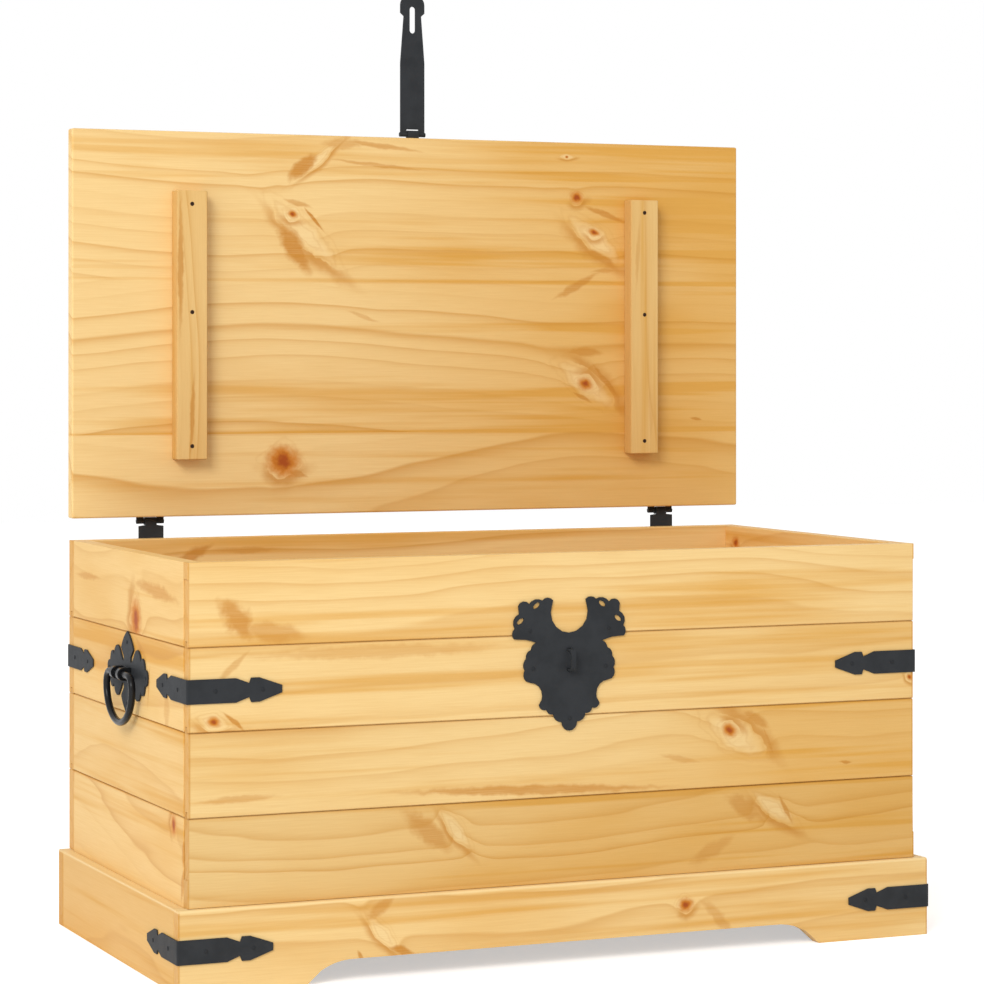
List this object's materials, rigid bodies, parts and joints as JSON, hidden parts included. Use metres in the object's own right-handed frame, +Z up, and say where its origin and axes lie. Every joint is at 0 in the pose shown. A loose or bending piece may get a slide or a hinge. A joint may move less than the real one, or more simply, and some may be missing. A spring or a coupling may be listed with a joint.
{
  "type": "storage chest",
  "caption": "Pine board storage chest with a hinged lid on loop hinges, a hasp over a staple, iron corner straps and ring handles at its sides.",
  "frame": {"origin": "on the floor under the middle of the plinth", "axes": "+X to the chest's right as seen from its front, +Y to its back, +Z up"},
  "size_m": [0.9198, 0.4838, 1.1216],
  "materials": {
    "pine_body": "waxed honey pine",
    "pine_plinth": "waxed honey pine",
    "pine_lid": "waxed honey pine",
    "iron": "matte charcoal, lightly textured",
    "screw_steel": "black phosphated"
  },
  "bodies": {
    "chest": {"front_board_1": "pine_body", "front_board_2": "pine_body", "front_board_3": "pine_body", "front_board_4": "pine_body", "back_board_1": "pine_body", "back_board_2": "pine_body", "back_board_3": "pine_body", "back_board_4": "pine_body", "left_board_1": "pine_body", "left_board_2": "pine_body", "left_board_3": "pine_body", "left_board_4": "pine_body", "right_board_1": "pine_body", "right_board_2": "pine_body", "right_board_3": "pine_body", "right_board_4": "pine_body", "plinth_front": "pine_plinth", "plinth_back": "pine_plinth", "plinth_left": "pine_plinth", "plinth_right": "pine_plinth", "bottom_panel": "pine_body", "bottom_cleat_front": "pine_body", "bottom_cleat_back": "pine_body", "bottom_cleat_left": "pine_body", "bottom_cleat_right": "pine_body", "corner_strap_body_front_left": "iron", "corner_strap_body_front_right": "iron", "corner_strap_body_back_left": "iron", "corner_strap_body_back_right": "iron", "corner_strap_plinth_front_left": "iron", "corner_strap_plinth_front_right": "iron", "hinge_body_leaf_left": "iron", "hinge_body_leaf_right": "iron", "lock_plate": "iron", "lock_staple": "iron", "handle_plate_left": "iron", "handle_plate_right": "iron", "handle_loops_left": "iron", "handle_loops_right": "iron"},
    "lid": {"lid_panel": "pine_lid", "lid_batten_left": "pine_lid", "lid_batten_right": "pine_lid", "batten_screw_left_1": "screw_steel", "batten_screw_left_2": "screw_steel", "batten_screw_left_3": "screw_steel", "batten_screw_right_1": "screw_steel", "batten_screw_right_2": "screw_steel", "batten_screw_right_3": "screw_steel", "hinge_lid_leaf_left": "iron", "hinge_lid_leaf_right": "iron", "hasp_lid_plate": "iron"},
    "hasp": {"hasp": "iron"},
    "ring_left": {"handle_ring_left": "iron"},
    "ring_right": {"handle_ring_right": "iron"}
  },
  "joints": [
    {"name": "lid_hinge", "type": "hinge", "parent": "chest", "child": "lid", "pos_m": [0, 0.237, 0.4737], "axis": [1, 0, 0], "range_deg": [0, 90]},
    {"name": "hasp_hinge", "type": "hinge", "parent": "lid", "child": "hasp", "pos_m": [0, 0.2413, 0.9466], "axis": [1, 0, 0], "range_deg": [-170, 92.6]},
    {"name": "ring_left_swing", "type": "hinge", "parent": "chest", "child": "ring_left", "pos_m": [-0.4527, -0.011, 0.319], "axis": [0, 1, 0], "range_deg": [-4, 175]},
    {"name": "ring_right_swing", "type": "hinge", "parent": "chest", "child": "ring_right", "pos_m": [0.4527, -0.011, 0.319], "axis": [0, -1, 0], "range_deg": [-4, 175]}
  ]
}
